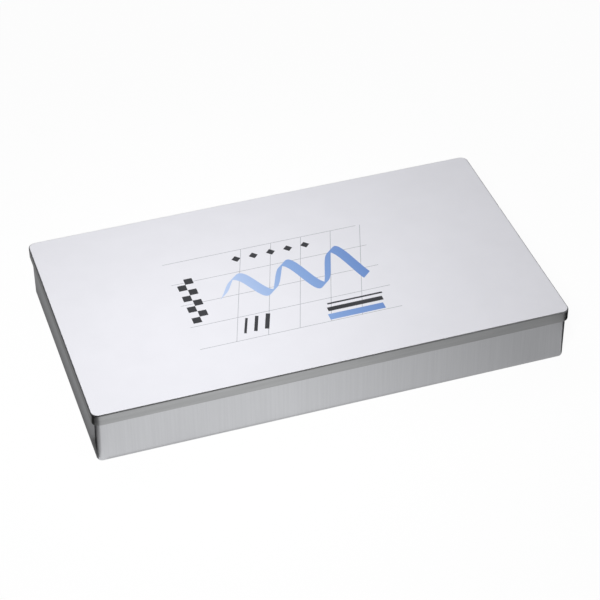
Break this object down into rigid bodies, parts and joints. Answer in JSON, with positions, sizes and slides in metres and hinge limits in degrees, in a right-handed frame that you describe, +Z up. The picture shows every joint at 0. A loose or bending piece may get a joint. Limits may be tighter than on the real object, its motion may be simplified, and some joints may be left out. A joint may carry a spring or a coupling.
{
  "type": "calligraphy set box",
  "caption": "Flat slip-lid tin of brushed tinplate that holds a calligraphy pen, spare broad-edged nibs and ink cartridges in a cut foam insert.",
  "frame": {"origin": "centre of the box's footprint, on the plane that it stands on", "axes": "+X along the tin's length, towards the pen cap's crown; -Y is the front; +Z up, the way the lid lifts"},
  "size_m": [0.21, 0.121, 0.026],
  "materials": {
    "tinplate": "fine brushed tinplate",
    "lid_lacquer": "satin pale grey lacquer with a print, on brushed tinplate",
    "foam": "matte closed-cell foam",
    "grip_plastic": "matte moulded",
    "feed_plastic": "matte moulded",
    "cartridge_plastic": "glossy translucent, filled with blue ink",
    "nib_steel": "polished stainless sheet",
    "bright_steel": "bright plated",
    "pen_plastic": "glossy moulded",
    "liner_plastic": "natural moulded"
  },
  "bodies": {
    "base": {"tin_base": "tinplate"},
    "lid": {"tin_lid": "lid_lacquer"},
    "insert": {"foam_pad": "foam", "foam_insert": "foam"},
    "pen": {"grip_section": "grip_plastic", "ink_feed": "feed_plastic", "fitted_cartridge": "cartridge_plastic"},
    "fitted_nib": {"medium_nib": "nib_steel"},
    "ring": {"trim_ring": "bright_steel"},
    "barrel": {"pen_barrel": "pen_plastic"},
    "cap": {"pen_cap": "pen_plastic", "inner_cap": "liner_plastic", "cap_finial": "bright_steel", "pocket_clip": "bright_steel"},
    "narrow_spare": {"narrow_nib": "nib_steel"},
    "broad_spare": {"broad_nib": "nib_steel"},
    "cartridge_1": {"spare_cartridge_1": "cartridge_plastic"},
    "cartridge_2": {"spare_cartridge_2": "cartridge_plastic"},
    "cartridge_3": {"spare_cartridge_3": "cartridge_plastic"},
    "cartridge_4": {"spare_cartridge_4": "cartridge_plastic"},
    "cartridge_5": {"spare_cartridge_5": "cartridge_plastic"}
  },
  "joints": [
    {"name": "lid_lift", "type": "slide", "parent": "base", "child": "lid", "axis": [0, 0, 1], "range_m": [0, 0.2]},
    {"name": "insert_lift", "type": "slide", "parent": "base", "child": "insert", "axis": [0, 0, 1], "range_m": [0, 0.03]},
    {"name": "pen_lift", "type": "slide", "parent": "insert", "child": "pen", "axis": [0, 0, 1], "range_m": [0, 0.12]},
    {"name": "cap_pull", "type": "slide", "parent": "pen", "child": "cap", "axis": [1, 0, 0], "range_m": [0, 0.08]},
    {"name": "nib_pull", "type": "slide", "parent": "pen", "child": "fitted_nib", "axis": [1, 0, 0], "range_m": [0, 0.02]},
    {"name": "ring_advance", "type": "slide", "parent": "pen", "child": "ring", "axis": [-1, 0, 0], "range_m": [0, 0.003]},
    {"name": "barrel_unscrew", "type": "hinge", "parent": "ring", "child": "barrel", "pos_m": [0.01605, -0.03625, 0.014], "axis": [-1, 0, 0], "range_deg": [0, 1080]},
    {"name": "narrow_nib_lift", "type": "slide", "parent": "insert", "child": "narrow_spare", "axis": [0, 0, 1], "range_m": [0, 0.06]},
    {"name": "broad_nib_lift", "type": "slide", "parent": "insert", "child": "broad_spare", "axis": [0, 0, 1], "range_m": [0, 0.072]},
    {"name": "cartridge_1_lift", "type": "slide", "parent": "insert", "child": "cartridge_1", "axis": [0, 0, 1], "range_m": [0, 0.04]},
    {"name": "cartridge_2_lift", "type": "slide", "parent": "insert", "child": "cartridge_2", "axis": [0, 0, 1], "range_m": [0, 0.048]},
    {"name": "cartridge_3_lift", "type": "slide", "parent": "insert", "child": "cartridge_3", "axis": [0, 0, 1], "range_m": [0, 0.056]},
    {"name": "cartridge_4_lift", "type": "slide", "parent": "insert", "child": "cartridge_4", "axis": [0, 0, 1], "range_m": [0, 0.064]},
    {"name": "cartridge_5_lift", "type": "slide", "parent": "insert", "child": "cartridge_5", "axis": [0, 0, 1], "range_m": [0, 0.072]}
  ],
  "couplings": [
    {"joint": "insert_lift", "follows": "lid_lift", "ratio": 0.15},
    {"joint": "pen_lift", "follows": "lid_lift", "ratio": 0.6},
    {"joint": "cap_pull", "follows": "lid_lift", "ratio": 0.4},
    {"joint": "nib_pull", "follows": "lid_lift", "ratio": 0.1},
    {"joint": "narrow_nib_lift", "follows": "lid_lift", "ratio": 0.3},
    {"joint": "broad_nib_lift", "follows": "lid_lift", "ratio": 0.36},
    {"joint": "cartridge_1_lift", "follows": "lid_lift", "ratio": 0.2},
    {"joint": "cartridge_2_lift", "follows": "lid_lift", "ratio": 0.24},
    {"joint": "cartridge_3_lift", "follows": "lid_lift", "ratio": 0.28},
    {"joint": "cartridge_4_lift", "follows": "lid_lift", "ratio": 0.32},
    {"joint": "cartridge_5_lift", "follows": "lid_lift", "ratio": 0.36},
    {"joint": "ring_advance", "follows": "barrel_unscrew", "m_per_rad": 0.00015915}
  ]
}
